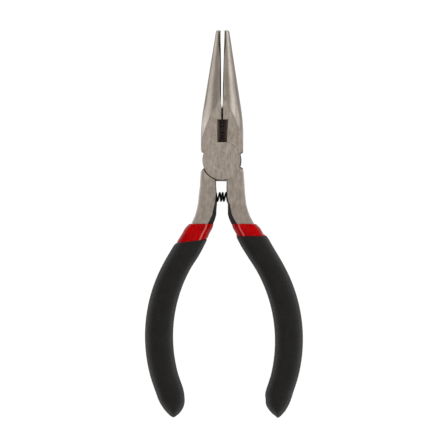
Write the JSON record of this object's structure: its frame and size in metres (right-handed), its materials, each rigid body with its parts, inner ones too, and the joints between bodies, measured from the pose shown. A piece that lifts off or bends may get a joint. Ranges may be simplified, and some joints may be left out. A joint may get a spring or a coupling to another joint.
{
  "type": "long-nose pliers",
  "caption": "Miniature long-nose pliers: two steel levers on a flush rivet, serrated D-shaped jaws, a side cutter, a return spring and dipped handles.",
  "frame": {"origin": "on the pivot's axis, in the plane of the rivet's back face that the pliers lie on", "axes": "+Z along the pivot's axis, away from the resting surface; +Y from the pivot towards the jaw tips; +X to the right seen from above"},
  "size_m": [0.0519, 0.127, 0.0094],
  "materials": {
    "steel": "ground forged steel with fine lengthwise grinding marks, black scale left on the sides of the arms",
    "spring_steel": "blackened spring wire",
    "red_plastic": "glossy dipped plastic",
    "black_plastic": "matte dipped plastic with a fine foamed texture"
  },
  "bodies": {
    "rear_half": {"rear_lever": "steel", "rivet": "steel", "return_spring": "spring_steel", "left_inner_sleeve": "red_plastic", "left_grip": "black_plastic"},
    "front_half": {"front_lever": "steel", "right_inner_sleeve": "red_plastic", "right_grip": "black_plastic"}
  },
  "joints": [
    {"name": "pivot", "type": "hinge", "parent": "rear_half", "child": "front_half", "pos_m": [0, 0, 0.0047], "axis": [0, 0, 1], "range_deg": [0, 30], "stiffness_Nm_per_rad": 0.15, "deforming": ["return_spring"]}
  ]
}
